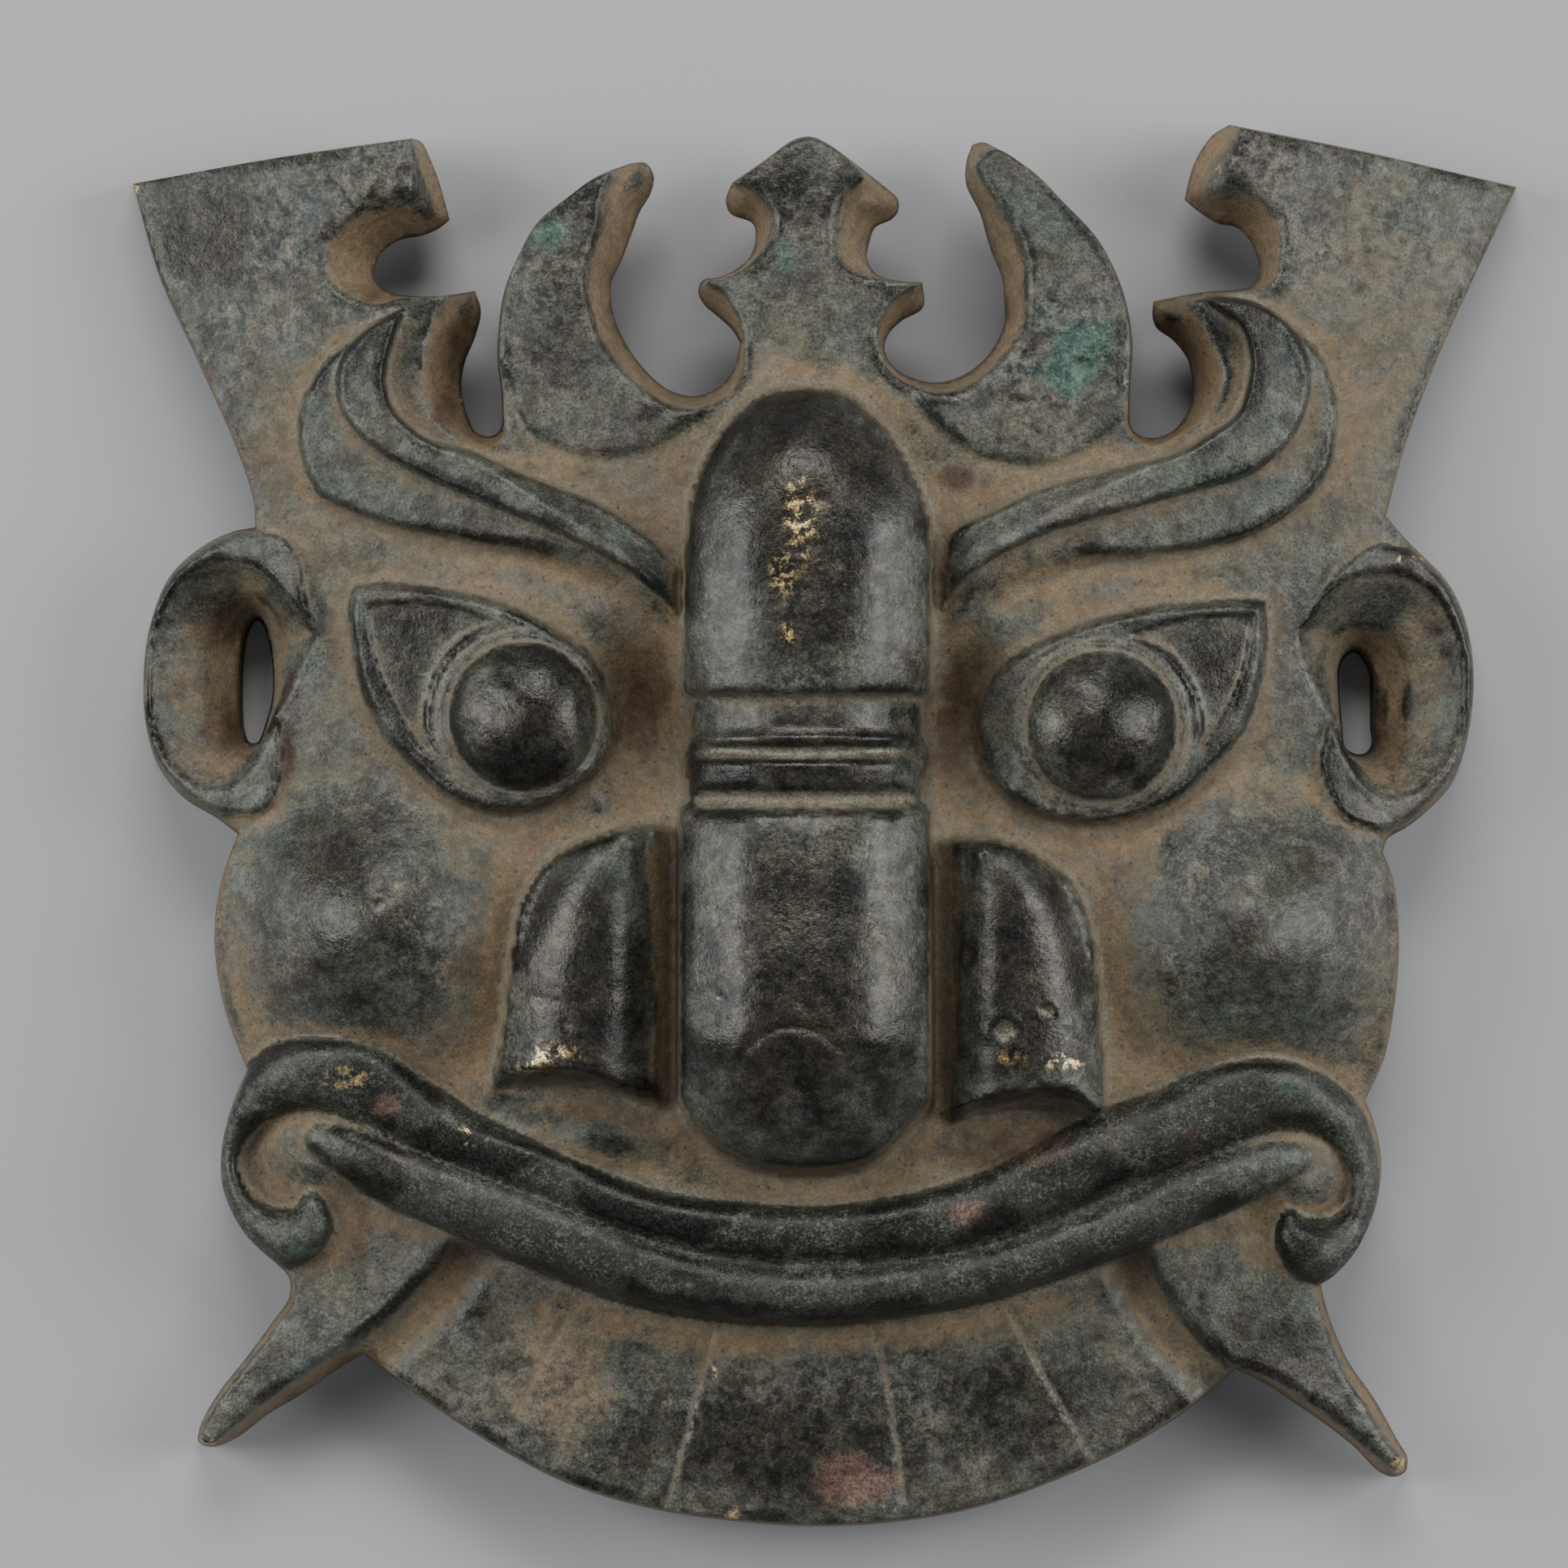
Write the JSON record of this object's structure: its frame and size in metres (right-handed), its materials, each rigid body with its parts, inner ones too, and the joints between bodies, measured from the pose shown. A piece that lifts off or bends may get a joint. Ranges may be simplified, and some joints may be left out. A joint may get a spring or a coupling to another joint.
{
  "type": "beast mask",
  "caption": "Cast bronze beast mask with a wide scrolled mouth, tusks, bulging eyes, hooked brows, side ears and an openwork crest, hollow behind.",
  "frame": {"origin": "centre of the mask's bounding box, at the resting plane under its back edge", "axes": "+Z out of the face (the mask lies on its back), +Y towards the crest, +X towards the right side of the mask as seen from in front"},
  "size_m": [0.22, 0.222, 0.0549],
  "materials": {
    "mask_bronze": "dark patinated bronze with earth in its recesses"
  },
  "bodies": {
    "root": {"mask": "mask_bronze"}
  },
  "joints": []
}
